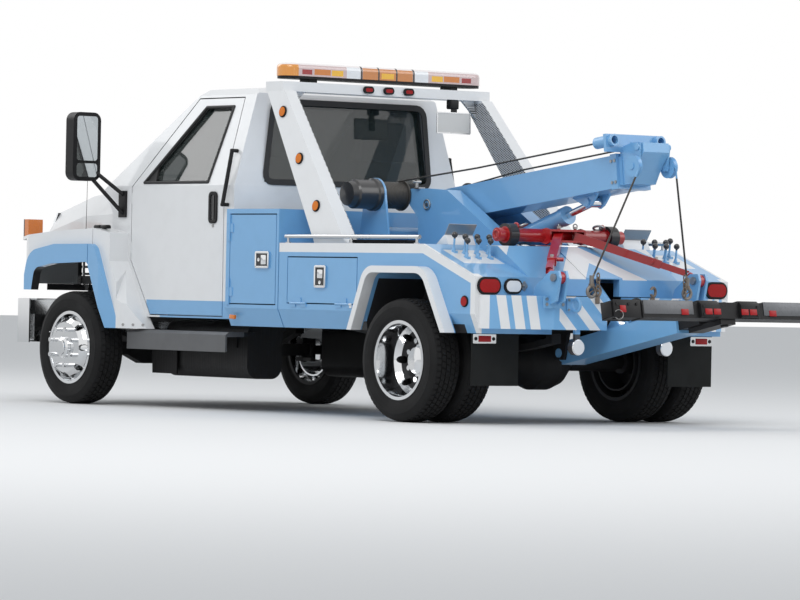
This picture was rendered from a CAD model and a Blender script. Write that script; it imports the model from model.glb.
"""Dresses the tow truck's CAD frame: paint, tyre tread, rigging, trim and studio."""

from __future__ import annotations

import logging
import math
from dataclasses import dataclass
from enum import IntEnum
from functools import cached_property
from typing import Any, Callable, Iterable, Sequence, Union

import bmesh
import bpy
from mathutils import Matrix, Vector

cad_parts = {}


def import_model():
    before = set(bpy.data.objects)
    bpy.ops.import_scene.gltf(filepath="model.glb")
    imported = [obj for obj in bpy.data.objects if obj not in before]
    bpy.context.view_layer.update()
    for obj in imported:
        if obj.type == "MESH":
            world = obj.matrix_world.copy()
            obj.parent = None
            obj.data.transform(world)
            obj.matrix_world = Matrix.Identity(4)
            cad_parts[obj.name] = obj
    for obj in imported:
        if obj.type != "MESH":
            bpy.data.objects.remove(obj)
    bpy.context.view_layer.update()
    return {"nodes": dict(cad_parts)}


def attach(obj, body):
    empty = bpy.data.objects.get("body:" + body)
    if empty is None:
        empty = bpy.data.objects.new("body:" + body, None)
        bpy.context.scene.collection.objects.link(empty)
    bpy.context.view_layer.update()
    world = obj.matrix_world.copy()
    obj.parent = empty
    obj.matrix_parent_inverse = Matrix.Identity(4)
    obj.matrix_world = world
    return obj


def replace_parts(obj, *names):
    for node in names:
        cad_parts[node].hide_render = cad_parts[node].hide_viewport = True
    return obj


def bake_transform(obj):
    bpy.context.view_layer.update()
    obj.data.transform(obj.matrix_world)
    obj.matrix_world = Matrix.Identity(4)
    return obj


log = logging.getLogger("tow_truck")

Piece = bpy.types.Object
Point = tuple[float, float, float]
Colour = tuple[float, float, float]
Outline = Sequence[tuple[float, float]]
Test = Callable[[Vector, Vector], bool]
Value = Union["Link", float]

FRONT_AXLE_X = 2.415
REAR_AXLE_X = -1.446
AXLE_Z = 0.4055
DECK_Z = 1.1702
REAR: Point = (-1.0, 0.0, 0.0)
ACROSS: Point = (0.0, 1.0, 0.0)


class Side(IntEnum):
    """The truck's two sides and the way each lies from its middle."""

    LEFT = 1
    RIGHT = -1

    @property
    def word(self) -> str:
        """The side's name as the bodies are named."""
        return self.name.lower()


# Shader maths


class Link:
    """A node socket that can be used in ordinary arithmetic."""

    def __init__(self, recipe: Recipe, socket: bpy.types.NodeSocket) -> None:
        """Keeps the socket and the recipe that owns it."""
        self.recipe = recipe
        self.socket = socket

    def _math(self, operation: str, *values: Value) -> Link:
        """Adds one Math node.

        Args:
            operation: The Math node's operation.
            values: Its inputs in order.

        Returns:
            The node's result.
        """
        node = self.recipe.node("ShaderNodeMath", {"operation": operation}, dict(enumerate(values)))
        return Link(self.recipe, node.outputs[0])

    def __add__(self, other: Value) -> Link:
        """Sum."""
        return self._math("ADD", self, other)

    __radd__ = __add__

    def __mul__(self, other: Value) -> Link:
        """Product."""
        return self._math("MULTIPLY", self, other)

    __rmul__ = __mul__

    def __sub__(self, other: Value) -> Link:
        """Difference."""
        return self._math("SUBTRACT", self, other)

    def __rsub__(self, other: Value) -> Link:
        """Reflected difference."""
        return self._math("SUBTRACT", other, self)

    def __truediv__(self, other: Value) -> Link:
        """Quotient."""
        return self._math("DIVIDE", self, other)

    def __gt__(self, other: Value) -> Link:
        """1 where the value is greater."""
        return self._math("GREATER_THAN", self, other)

    def __lt__(self, other: Value) -> Link:
        """1 where the value is less."""
        return self._math("LESS_THAN", self, other)

    def __abs__(self) -> Link:
        """Distance from zero."""
        return self._math("ABSOLUTE", self)

    def __mod__(self, other: Value) -> Link:
        """Remainder that stays positive."""
        return self._math("FLOORED_MODULO", self, other)

    def within(self, low: float, high: float) -> Link:
        """1 between two limits."""
        return (self > low) * (self < high)

    def either(self, other: Link) -> Link:
        """1 where either mask is 1."""
        return self._math("MAXIMUM", self, other)

    def clipped(self) -> Link:
        """The value kept between 0 and 1."""
        return self._math("MAXIMUM", self._math("MINIMUM", self, 1.0), 0.0)


@dataclass
class Place:
    """A surface point in the piece's own coordinates, with the way the surface faces."""

    x: Link
    y: Link
    z: Link
    vector: Link
    normal: Link


class Recipe:
    """Builds one material's node tree."""

    def __init__(self, name: str) -> None:
        """Starts from a single glossy shader."""
        self.material = bpy.data.materials.new(name)
        self.material.use_nodes = True
        self.tree = self.material.node_tree
        self.tree.nodes.clear()
        self.output = self.tree.nodes.new("ShaderNodeOutputMaterial")
        self.shader = self.tree.nodes.new("ShaderNodeBsdfPrincipled")
        self.tree.links.new(self.shader.outputs[0], self.output.inputs[0])
        self._place: Place | None = None

    def node(self, kind: str, settings: dict[str, Any], inputs: dict[Any, Any]) -> bpy.types.Node:
        """Adds a node.

        Args:
            kind: The node's type.
            settings: Its settings, set before its sockets.
            inputs: Values or links by socket name or number.

        Returns:
            The new node.
        """
        node = self.tree.nodes.new(kind)
        for key, value in settings.items():
            setattr(node, key, value)
        for key, value in inputs.items():
            self.plug(node.inputs[key], value)
        return node

    def plug(self, socket: bpy.types.NodeSocket, value: Any) -> None:
        """Links a socket or sets its value."""
        if isinstance(value, Link):
            self.tree.links.new(value.socket, socket)
        elif isinstance(value, tuple) and len(value) == 3 and socket.type == "RGBA":
            socket.default_value = (*value, 1.0)
        else:
            socket.default_value = value

    def place(self) -> Place:
        """The shared Object-coordinate inputs."""
        if self._place is None:
            source = self.node("ShaderNodeTexCoord", {}, {})
            vector = Link(self, source.outputs["Object"])
            parts = self.node("ShaderNodeSeparateXYZ", {}, {0: vector})
            normal = Link(self, source.outputs["Normal"])
            x, y, z = (Link(self, parts.outputs[i]) for i in range(3))
            self._place = Place(x, y, z, vector, normal)
        return self._place

    def blend(self, mask: Value, base: Any, over: Any, way: str = "MIX") -> Link:
        """Lays one colour over another where the mask is 1."""
        node = self.node("ShaderNodeMix", {"data_type": "RGBA", "blend_type": way}, {0: mask, 6: base, 7: over})
        return Link(self, node.outputs[2])

    def noise(self, scale: float, detail: float = 2.0) -> Link:
        """Fine random variation on Object coordinates."""
        inputs = {"Vector": self.place().vector, "Scale": scale, "Detail": detail}
        node = self.node("ShaderNodeTexNoise", {}, inputs)
        return Link(self, node.outputs[0])

    def relief(self, height: Link, strength: float, distance: float) -> None:
        """Feeds a height through a Bump node to the shader's normal."""
        node = self.node("ShaderNodeBump", {}, {"Height": height, "Strength": strength, "Distance": distance})
        self.tree.links.new(node.outputs[0], self.shader.inputs["Normal"])

    def set(self, **values: Any) -> None:
        """Sets shader sockets by name, with underscores for spaces."""
        for key, value in values.items():
            self.plug(self.shader.inputs[key.replace("_", " ")], value)


@dataclass(frozen=True)
class Zone:
    """A part of a surface with its own finish, found by its place."""

    colour: Colour
    mask: Callable[[Place], Link]
    roughness: float | None = None
    metallic: float | None = None


@dataclass(frozen=True)
class Finish:
    """A surface finish, its slot in the record and the zones painted over it."""

    name: str
    colour: Colour
    roughness: float = 0.5
    metallic: float = 0.0
    coat: float = 0.0
    wear: float = 0.04
    zones: tuple[Zone, ...] = ()
    relief: Callable[[Recipe], Link] | None = None
    relief_depth: float = 0.0005
    extra: tuple[tuple[str, Any], ...] = ()
    inward: Colour | None = None
    heart: Point = (0.0, 0.0, 0.0)
    lining: Callable[[Place], Link] | None = None
    slot: str = "dark_trim"

    @cached_property
    def material(self) -> bpy.types.Material:
        """The finish as a material, built once."""
        recipe = Recipe(self.name)
        grain = recipe.noise(9.0, 3.0)
        colour: Any = self.colour
        roughness: Any = self.roughness
        metallic: Any = self.metallic
        for zone in self.zones:
            mask = zone.mask(recipe.place())
            colour = recipe.blend(mask, colour, zone.colour)
            if zone.roughness is not None:
                roughness = roughness + mask * (zone.roughness - self.roughness)
            if zone.metallic is not None:
                metallic = metallic + mask * (zone.metallic - self.metallic)
        if self.inward is not None:
            colour = recipe.blend(self._facing_in(recipe), colour, self.inward)
        if self.wear:
            film = ((grain - 0.45) * 3.0).clipped() * (self.wear * 4)
            colour = recipe.blend(film, colour, GRIME, "MULTIPLY")
            roughness = (grain - 0.5) * (self.wear * 2.5) + roughness
        recipe.set(Base_Color=colour, Roughness=roughness, Metallic=metallic, Coat_Weight=self.coat)
        recipe.set(**dict(self.extra))
        if self.relief is not None:
            recipe.relief(self.relief(recipe), 1.0, self.relief_depth)
        return recipe.material

    def _facing_in(self, recipe: Recipe) -> Link:
        """1 on faces that look towards the middle of the shell."""
        place = recipe.place()
        away = recipe.node("ShaderNodeVectorMath", {"operation": "SUBTRACT"}, {0: place.vector, 1: self.heart})
        ends = {0: Link(recipe, away.outputs[0]), 1: place.normal}
        dot = recipe.node("ShaderNodeVectorMath", {"operation": "DOT_PRODUCT"}, ends)
        inside = Link(recipe, dot.outputs["Value"]) < 0.0
        return inside if self.lining is None else inside * self.lining(place)


# Modelling


def facing(at: Point | Vector, way: Point | Vector) -> Matrix:
    """A place whose Z runs along a direction."""
    return Matrix.Translation(at) @ Vector(way).to_track_quat("Z", "Y").to_matrix().to_4x4()


def upright(origin: Point | Vector, out: Point | Vector) -> Matrix:
    """A standing plane that faces outwards.

    Args:
        origin: The plane's origin.
        out: The way it faces, its Z.

    Returns:
        The plane as a matrix whose X runs to the right as seen from outside.
    """
    z = Vector(out).normalized()
    x = Vector((0.0, 0.0, 1.0)).cross(z).normalized()
    matrix = Matrix((x, z.cross(x), z)).transposed().to_4x4()
    matrix.translation = origin
    return matrix


def section(y: float, way: int = -1, x: float = 0.0) -> Matrix:
    """A plane seen from the side, drawn in (x, z) and extruded across the truck."""
    return Matrix(((1, 0, 0, x), (0, 0, way, y), (0, 1, 0, 0), (0, 0, 0, 1)))


def oblong(half: float, tall: float) -> Outline:
    """A rectangle's corners about its middle."""
    return [(-half, -tall), (half, -tall), (half, tall), (-half, tall)]


class Bench:
    """Modelling moves on one piece at a time, as by hand."""

    @staticmethod
    def clear() -> None:
        """Leaves edit mode and deselects everything."""
        if bpy.context.mode != "OBJECT":
            bpy.ops.object.mode_set(mode="OBJECT")
        bpy.ops.object.select_all(action="DESELECT")

    @staticmethod
    def take(name: str = "part") -> Piece:
        """Names the active object."""
        piece = bpy.context.active_object
        piece.name = piece.data.name = name
        return piece

    @classmethod
    def only(cls, piece: Piece) -> None:
        """Selects one piece alone."""
        cls.clear()
        piece.select_set(True)
        bpy.context.view_layer.objects.active = piece

    @classmethod
    def edit(cls, piece: Piece) -> None:
        """Opens one piece for editing with all of it selected."""
        cls.only(piece)
        bpy.ops.object.mode_set(mode="EDIT")
        bpy.ops.mesh.select_all(action="SELECT")

    @staticmethod
    def close(turned: bool = True) -> None:
        """Ends editing, with all faces turned outwards unless they are right."""
        if turned:
            bpy.ops.mesh.select_all(action="SELECT")
            bpy.ops.mesh.normals_make_consistent(inside=False)
        bpy.ops.object.mode_set(mode="OBJECT")

    @classmethod
    def settle(cls, place: Matrix | None = None, edge: float = 0.0) -> Piece:
        """Puts the new piece's place, turn and size into its mesh.

        Args:
            place: Where the piece goes, unless it is there.
            edge: Width of the bevel on its sharp edges.

        Returns:
            The piece, at the origin.
        """
        piece = cls.take()
        if place is not None:
            piece.matrix_world = place
        cls.only(piece)
        bpy.ops.object.transform_apply(location=True, rotation=True, scale=True)
        if edge:
            cls.soften(piece, edge)
        return piece

    @classmethod
    def cube(cls, low: Point, high: Point, edge: float = 0.0) -> Piece:
        """A block between two opposite corners."""
        cls.clear()
        centre = [(a + b) / 2 for a, b in zip(low, high)]
        size = [abs(b - a) for a, b in zip(low, high)]
        bpy.ops.mesh.primitive_cube_add(size=1.0, location=centre, scale=size)
        return cls.settle(edge=edge)

    @classmethod
    def rod(cls, start: Point, end: Point, radius: float, sides: int = 24, tip: float | None = None) -> Piece:
        """A round bar between two points, tapered where a tip radius is given."""
        cls.clear()
        a, b = Vector(start), Vector(end)
        bpy.ops.mesh.primitive_cone_add(
            vertices=sides, radius1=radius, radius2=radius if tip is None else tip, depth=(b - a).length
        )
        return cls.settle(facing((a + b) / 2, b - a))

    @classmethod
    def stud(cls, at: Point, run: Point, radius: float, sides: int = 6) -> Piece:
        """A bolt head or pin that stands out from a point."""
        return cls.rod(at, tuple(a + b for a, b in zip(at, run)), radius, sides)

    @classmethod
    def ball(cls, centre: Point, radius: float, segments: int) -> Piece:
        """A ball."""
        cls.clear()
        bpy.ops.mesh.primitive_uv_sphere_add(
            segments=segments, ring_count=segments // 2, radius=radius, location=centre
        )
        return cls.settle()

    @classmethod
    def ring(cls, centre: Point, axis: Point, radius: float, wire: float, sides: int = 32) -> Piece:
        """A wire ring about an axis."""
        cls.clear()
        bpy.ops.mesh.primitive_torus_add(
            major_radius=radius, minor_radius=wire, major_segments=sides, minor_segments=10
        )
        return cls.settle(facing(centre, axis))

    @classmethod
    def plate(cls, outline: Outline, place: Matrix, thickness: float, rounding: float = 0.0,
              border: float = 0.0, edge: float = 0.0) -> Piece:
        """A flat plate: a disc whose corners are drawn to an outline, then extruded.

        Args:
            outline: Corners in the plate's own plane.
            place: The plate's plane, whose Z is its thickness.
            thickness: How far it is extruded along its Z.
            rounding: Radius of the outline's corners.
            border: Width of the frame that is left where its middle is taken out.
            edge: Width of the bevel on its sharp edges.

        Returns:
            The piece, at the origin.
        """
        cls.clear()
        bpy.ops.mesh.primitive_circle_add(vertices=len(outline), radius=1.0, fill_type="NGON")
        piece = cls.take()
        for vertex, (x, y) in zip(piece.data.vertices, outline):
            vertex.co = (x, y, 0.0)
        cls.edit(piece)
        if rounding:
            bpy.ops.mesh.bevel(offset=rounding, segments=4, affect="VERTICES")
            bpy.ops.mesh.select_all(action="SELECT")
        if border:
            bpy.ops.mesh.inset(thickness=border, depth=0.0, use_even_offset=True)
            bpy.ops.mesh.delete(type="ONLY_FACE")
            bpy.ops.mesh.select_all(action="SELECT")
        bpy.ops.mesh.extrude_region_move(TRANSFORM_OT_translate={"value": (0, 0, thickness)})
        cls.close()
        return cls.settle(place, edge)

    @classmethod
    def cable(cls, points: Sequence[Point], radius: float, steps: int = 8) -> Piece:
        """A round line swept through points, with short steps in each run."""
        cls.clear()
        bpy.ops.mesh.primitive_circle_add(vertices=10, radius=radius, fill_type="NGON")
        piece = cls.settle(facing(points[0], Vector(points[1]) - Vector(points[0])))
        cls.edit(piece)
        for start, end in zip(points, points[1:]):
            move = (Vector(end) - Vector(start)) / steps
            for _ in range(steps):
                bpy.ops.mesh.extrude_region_move(TRANSFORM_OT_translate={"value": tuple(move)})
        cls.close()
        return piece

    @classmethod
    def pad(cls, outline: Outline, across: tuple[float, float], swell: float) -> Piece:
        """A stuffed pad: a side outline drawn across, its edges rolled and its faces crowned.

        Args:
            outline: Corners of its side as (x, z).
            across: Where it starts and ends across the truck.
            swell: How far its middle stands out.

        Returns:
            The pad.
        """
        piece = cls.plate(outline, section(across[1]), across[1] - across[0])
        cls.edit(piece)
        bpy.ops.mesh.bevel(offset=0.022, segments=3, affect="EDGES")
        bpy.ops.mesh.select_all(action="SELECT")
        bpy.ops.mesh.quads_convert_to_tris()
        bpy.ops.mesh.subdivide(number_cuts=2)
        cls.close(turned=False)
        crown = piece.modifiers.new("crown", "SUBSURF")
        crown.levels = 1
        bpy.ops.object.modifier_apply(modifier=crown.name)
        points = [vertex.co for vertex in piece.data.vertices]
        low, high = (Vector(limit(co[i] for co in points) for i in range(3)) for limit in (min, max))
        middle, half = (low + high) / 2, (high - low) / 2
        for vertex in piece.data.vertices:
            share = (vertex.co.y - middle.y) / half.y
            away = vertex.co - middle
            away.y = 0.0
            if away.length:
                vertex.co += away.normalized() * swell * (1 - share * share)
        return piece

    @classmethod
    def pick(cls, piece: Piece, test: Test) -> int:
        """Selects faces by their centre and normal, and stays in edit mode.

        Args:
            piece: The piece to edit.
            test: Says whether a face with this centre and normal is taken.

        Returns:
            How many faces were taken.
        """
        cls.edit(piece)
        bpy.ops.mesh.select_mode(type="FACE")
        bpy.ops.mesh.select_all(action="DESELECT")
        mesh = bmesh.from_edit_mesh(piece.data)
        taken = [face for face in mesh.faces if test(face.calc_center_median(), face.normal)]
        for face in taken:
            face.select_set(True)
        mesh.select_flush(True)
        bmesh.update_edit_mesh(piece.data)
        return len(taken)

    @classmethod
    def inset(cls, piece: Piece, test: Test, border: float, depth: float) -> None:
        """Insets the chosen faces and pushes them by a depth along their normals."""
        if cls.pick(piece, test):
            bpy.ops.mesh.inset(thickness=border, depth=depth, use_individual=True)
        cls.close(turned=False)

    @classmethod
    def soften(cls, piece: Piece, width: float, segments: int = 2) -> None:
        """Bevels a piece's sharp edges."""
        cls.only(piece)
        bevel = piece.modifiers.new("edges", "BEVEL")
        bevel.width = width
        bevel.segments = segments
        bevel.limit_method = "ANGLE"
        bevel.angle_limit = math.radians(40.0)
        bpy.ops.object.modifier_apply(modifier=bevel.name)

    @classmethod
    def repeat(cls, piece: Piece, name: str, moves: Iterable[Matrix]) -> Piece:
        """Copies a finished piece to several places, each with its own mesh, and joins them.

        Args:
            piece: The piece that is copied, which is used up.
            name: The joined piece's name.
            moves: Where each copy goes, from where the piece was made.

        Returns:
            The joined piece.
        """
        copies = []
        for move in moves:
            twin = piece.copy()
            twin.data = piece.data.copy()
            bpy.context.scene.collection.objects.link(twin)
            twin.data.transform(move)
            copies.append(twin)
        bpy.data.objects.remove(piece, do_unlink=True)
        return cls.join(name, copies)

    @classmethod
    def join(cls, name: str, pieces: Piece | Sequence[Piece]) -> Piece:
        """Joins pieces into one, or names a single one."""
        cls.clear()
        group = [pieces] if isinstance(pieces, Piece) else pieces
        for piece in group:
            piece.select_set(True)
        bpy.context.view_layer.objects.active = group[0]
        if len(group) > 1:
            bpy.ops.object.join()
        return cls.take(name)

    @classmethod
    def fit(cls, name: str, pieces: Piece | Sequence[Piece], finish: Finish, body: str = "chassis",
            slot: str = "", angle: float = 35.0) -> Piece:
        """Joins pieces, dresses them and lets them ride on a body.

        Args:
            name: The finished piece's name.
            pieces: One piece or those that are joined.
            finish: Its finish.
            body: The CAD body it rides on.
            slot: The record's material slot, where it isn't the finish's own.
            angle: Edges flatter than this are shaded smooth.

        Returns:
            The piece.
        """
        piece = cls.join(name, pieces)
        cls.dress(piece, finish, slot, angle)
        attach(piece, body)
        log.info("%s rides on %s", piece.name, body)
        return piece

    @classmethod
    def dress(cls, piece: Piece, finish: Finish, slot: str = "", angle: float = 35.0) -> None:
        """Gives a piece its material, its slot and its shading."""
        cls.only(piece)
        piece.data.materials.clear()
        piece.data.materials.append(finish.material)
        bpy.ops.object.shade_smooth_by_angle(angle=math.radians(angle))


# Finishes

WHITE: Colour = (0.76, 0.77, 0.78)
SKY_BLUE: Colour = (0.17, 0.40, 0.68)
SHADE_BLACK: Colour = (0.012, 0.012, 0.014)
TOW_RED: Colour = (0.40, 0.008, 0.011)
AMBER: Colour = (0.66, 0.17, 0.006)
GRIME: Colour = (0.75, 0.74, 0.72)
LENS_RED: Colour = (0.34, 0.003, 0.005)
MATT: tuple[tuple[str, float], ...] = (("Specular_IOR_Level", 0.22),)
LENS_CLEAR: Colour = (0.78, 0.80, 0.82)
LINING: Colour = (0.16, 0.16, 0.165)


def tread_plate(across: Link, along: Link, pitch: float) -> Link:
    """Raised lozenges of chequer plate, turned alternately each way.

    Args:
        across: One coordinate in the plate, in metres.
        along: The other.
        pitch: Spacing of the lozenges.

    Returns:
        1 on a lozenge, 0 between them.
    """
    u, v = across / pitch, along / pitch
    column, row = u._math("FLOOR", u), v._math("FLOOR", v)
    way = ((column + row) % 2.0) * 2.0 - 1.0
    a, b = (u % 1.0) - 0.5, (v % 1.0) - 0.5
    length = (a * way + b) * 1.75
    width = (a - b * way) * 5.2
    return (length * length + width * width) < 1.0


def mesh_pattern(across: Link, along: Link, pitch: float) -> Link:
    """Openings of expanded metal: slim diamonds in staggered rows."""
    u, v = across / pitch, along / (pitch * 0.55)
    first = abs((u % 1.0) - 0.5) + abs((v % 1.0) - 0.5)
    second = abs(((u + 0.5) % 1.0) - 0.5) + abs(((v + 0.5) % 1.0) - 0.5)
    return (first < 0.30).either(second < 0.30)


def deck_height(place: Place, bend_x: float, fall: float) -> Link:
    """Height of the deck: level, then down a slope behind its bend."""
    drop = (place.x - bend_x) * fall
    return drop._math("MINIMUM", drop, 0.0) + 1.170


def centre_deck(place: Place) -> Link:
    """Height of the deck between the tow bar's legs."""
    return deck_height(place, -1.795, 0.6198)


def stripe_edge(place: Place) -> Link:
    """Height of the wrecker body's top edge at its sides."""
    return deck_height(place, -1.575, 0.3736)


def chevron(near: float, far: float) -> Zone:
    """A white band across the centre deck that spreads towards the tail."""

    def mask(place: Place) -> Link:
        band = (abs(place.y) + place.x).within(near, far) * (place.z > centre_deck(place) - 0.004)
        return band * (place.x < -1.575) * (abs(place.y) < 0.641)

    return Zone(WHITE, mask)


def paint(name: str, colour: Colour, *zones: Zone, **more: Any) -> Finish:
    """Glossy coach paint with painted zones."""
    return Finish(name, colour, roughness=0.32, coat=0.5, wear=0.03, zones=zones, **more)


FLARE = Zone(SKY_BLUE, lambda p: (abs(p.y) > 1.152) * (p.x > 1.70))
ROCKER = Zone(SKY_BLUE, lambda p: (p.z < 0.762) * abs(p.y).within(0.90, 1.002) * (p.x < 1.73))
CAB_ROCKER = Zone(SKY_BLUE, lambda p: (p.z < 0.762) * abs(p.y).within(0.90, 0.9905) * (p.x < 1.56))


def cab_lining(place: Place) -> Link:
    """The part of the cab that is lined, well inside the skirts."""
    return (abs(place.y) < 0.93) * (place.z > 0.93)


def ribs(axis: str, pitch: float, width: float) -> Callable[[Recipe], Link]:
    """A relief of straight ribs across an axis."""
    return lambda recipe: ((getattr(recipe.place(), axis) % pitch) < width) * 1.0


def tail_bars(place: Place) -> Link:
    """Three slanted bars on each side of the tail's face."""
    leaned = abs(place.y) + (0.745 - place.z) * 0.15
    bars = leaned.within(0.885, 0.945).either(leaned.within(0.790, 0.852)).either(leaned.within(0.695, 0.757))
    return bars * place.z.within(0.62, 0.85) * (place.x < -2.12)


def bumper_bars(place: Place) -> Link:
    """Slanted bars on the bumper's middle."""
    bars = ((abs(place.y) - (place.z - 0.628)) % 0.20) < 0.09
    return bars * (abs(place.y) < 0.55) * place.z.within(0.62, 0.848) * place.x.within(-2.348, -2.318)


CAB_PAINT = paint(
    "cab_paint", WHITE, FLARE, CAB_ROCKER, inward=LINING, heart=(1.45, 0.0, 1.62), lining=cab_lining,
)
DOOR_PAINT = paint(
    "door_paint", WHITE, ROCKER,
    Zone(SHADE_BLACK, lambda p: p.x.within(0.906, 0.958) * p.z.within(1.322, 1.518) * (abs(p.y) > 0.966)),
    inward=LINING, heart=(1.45, 0.0, 1.62), lining=lambda p: abs(p.y) < 0.975,
)
HOOD_PAINT = paint("hood_paint", WHITE, FLARE, inward=(0.025, 0.025, 0.027), heart=(2.74, 0.0, 1.0))
CABINET_PAINT = paint("cabinet_paint", SKY_BLUE)
DECK_PAINT = paint(
    "deck_paint", SKY_BLUE,
    Zone(WHITE, lambda p: (abs(p.y) > 1.070) * (p.z > stripe_edge(p) - 0.062)),
    Zone(WHITE, lambda p: (abs(p.y) > 1.030) * (p.x < -2.082)),
    Zone(WHITE, lambda p: (abs(p.y) > 1.093) * (p.x < -0.80)),
    chevron(-1.970, -1.760),
    chevron(-1.250, -1.040),
    Zone(WHITE, lambda p: abs(p.y).within(0.66, 1.0) * p.x.within(-1.90, -1.67) * (p.z > stripe_edge(p) - 0.02)),
    Zone(SHADE_BLACK, lambda p: (abs(p.y) < 1.06) * (p.z < 0.94) * (p.x > -1.99) * (p.x < -0.86), roughness=0.8),
)
TAIL_PAINT = paint(
    "tail_paint", SKY_BLUE, Zone(WHITE, tail_bars), Zone(WHITE, lambda p: (abs(p.y) > 1.0) * (p.x < -2.10)),
    Zone(WHITE, bumper_bars), Zone((0.055, 0.055, 0.058), lambda p: p.z < 0.600),
)


def leg_mesh(place: Place) -> Link:
    """The dark expanded metal in the inboard faces of the pylon's legs."""
    inner = 0.936 - (place.z - 1.17) * 0.1069
    across = place.x + (place.z - 1.17) * 0.2
    bars = mesh_pattern(across, place.z, 0.030)
    return (abs(place.y) < inner) * (abs(place.y) > 0.5) * (place.z < 2.2) * (bars * 0.75 + 0.25)


PYLON_PAINT = paint("pylon_paint", WHITE, Zone((0.03, 0.03, 0.032), leg_mesh, roughness=0.6))
BLUE_GEAR = paint("gear_paint", SKY_BLUE, slot="tail_blue")
MAST_PAINT = paint("mast_paint", SKY_BLUE)
WINCH_PAINT = paint(
    "winch_paint", SKY_BLUE, Zone((0.016, 0.016, 0.018), lambda p: abs(p.y) > 0.5215, roughness=0.35)
)
BOOM_PAINT = paint("boom_paint", SKY_BLUE)
STINGER_PAINT = paint("stinger_paint", SKY_BLUE)
CYLINDER_PAINT = paint("cylinder_paint", SKY_BLUE)


def rollers(place: Place) -> Link:
    """The rubber rollers near the tow bar's ends."""
    along, up = place.x + 1.655, place.z - 1.245
    return abs(place.y).within(0.399, 0.471) * (along * along + up * up > 0.0031) * (place.x > -1.74)


TOW_PAINT = paint("tow_paint", TOW_RED, Zone(SHADE_BLACK, rollers, roughness=0.8))
LEVER_PAINT = paint(
    "lever_paint", SKY_BLUE,
    Zone((0.01, 0.01, 0.012), lambda p: p.z - 1.103 - (p.x + 1.765) * 0.3736 > 0.086, roughness=0.35),
    slot="lever_blue",
)
CHASSIS_BLACK = Finish("chassis_black", (0.012, 0.012, 0.013), roughness=0.62, wear=0.10, extra=MATT)
GEAR_BLACK = Finish("gear_black", (0.010, 0.010, 0.011), roughness=0.42, wear=0.06, extra=MATT, slot="bar_black")
CAST_METAL = Finish("cast_metal", (0.11, 0.11, 0.112), roughness=0.65, metallic=0.4, wear=0.10)
CHROME = Finish("chrome_plate", (0.78, 0.79, 0.80), roughness=0.08, metallic=1.0, wear=0.02, slot="stainless")
ROD_CHROME = Finish("rod_chrome_plate", (0.78, 0.79, 0.80), roughness=0.12, metallic=1.0, wear=0.02)
STAINLESS = Finish("stainless_tube", (0.56, 0.57, 0.58), roughness=0.28, metallic=1.0, wear=0.03, slot="stainless")
PLASTIC = Finish("black_plastic", (0.009, 0.009, 0.010), roughness=0.40, wear=0.04, extra=MATT)
TRIM = Finish(
    "cab_trim", (0.030, 0.038, 0.042), roughness=0.75, wear=0.05,
    relief=lambda r: r.noise(260.0), relief_depth=0.0006,
)
SEAL = Finish("window_seal", (0.016, 0.016, 0.017), roughness=0.6, wear=0.03)
FLAP = Finish(
    "flap_rubber", (0.010, 0.011, 0.011), roughness=0.8, wear=0.08, relief=lambda r: r.noise(60.0), extra=MATT,
)
STEEL = Finish("bare_steel", (0.36, 0.36, 0.36), roughness=0.35, metallic=1.0, wear=0.06, slot="stainless")


def rope_lay(recipe: Recipe) -> Link:
    """Strands that run round the line on a slant."""
    place = recipe.place()
    turn = (place.x * 90.0 + place.y * 160.0 + place.z * 160.0) % 1.0
    strand = turn - 0.5
    return strand * strand * -4.0


def rope_coils(recipe: Recipe) -> Link:
    """Turns of line side by side on a drum."""
    turn = (recipe.place().y / 0.0125) % 1.0 - 0.5
    return turn * turn * -4.0


ROPE = Finish(
    "wire_rope", (0.050, 0.047, 0.044), roughness=0.5, metallic=0.6, wear=0.10, relief=rope_lay, relief_depth=0.0012,
    slot="rope_steel",
)
DRUM_ROPE = Finish(
    "drum_rope", (0.075, 0.070, 0.064), roughness=0.5, metallic=0.6, wear=0.10,
    relief=rope_coils, relief_depth=0.005,
)
LINE_GEAR = Finish(
    "line_gear", SKY_BLUE, roughness=0.35, coat=0.3, wear=0.05,
    zones=(
        Zone((0.050, 0.047, 0.044), lambda p: (p.z < 1.628), roughness=0.5, metallic=0.6),
        Zone((0.23, 0.215, 0.20), lambda p: (p.z < 0.996), roughness=0.45, metallic=0.8),
    ),
)
HOOK_IRON = Finish("hook_iron", (0.20, 0.165, 0.135), roughness=0.55, metallic=0.7, wear=0.10, slot="rope_steel")
WHITE_SIGN = Finish("blank_plate", (0.62, 0.62, 0.61), roughness=0.45, wear=0.02, slot="pylon_white")
STEP_METAL = Finish(
    "step_metal", (0.13, 0.134, 0.14), roughness=0.5, metallic=0.6, wear=0.06,
    zones=(Zone((0.018, 0.018, 0.019), lambda p: (abs(p.y) < 0.90).either(p.z < 0.405)),),
    relief=lambda r: tread_plate(r.place().y, r.place().x, 0.034), relief_depth=0.0015,
)
GLASS = Finish(
    "window_glass", (0.030, 0.042, 0.040), roughness=0.03, wear=0.0,
    extra=(("Alpha", 0.62), ("Specular_IOR_Level", 0.8), ("Coat_Weight", 1.0), ("Coat_Roughness", 0.02)),
)


def tyre_relief(recipe: Recipe) -> Link:
    """Fine rings moulded in the sidewalls, measured from each axle's centre."""
    place = recipe.place()
    front = place.x > 0.5
    dx = place.x - (front * (FRONT_AXLE_X - REAR_AXLE_X) + REAR_AXLE_X)
    dz = place.z - AXLE_Z
    square = dx * dx + dz * dz
    radius = square._math("SQRT", square)
    groove = ((radius % 0.022) < 0.0035).either(radius.within(0.352, 0.358))
    return groove * radius.within(0.285, 0.372) * -1.0


TYRE = Finish(
    "tyre_rubber", (0.011, 0.011, 0.0115), roughness=0.75, wear=0.10, relief=tyre_relief, relief_depth=0.0025,
    extra=MATT, slot="tyre_rubber",
)


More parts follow.
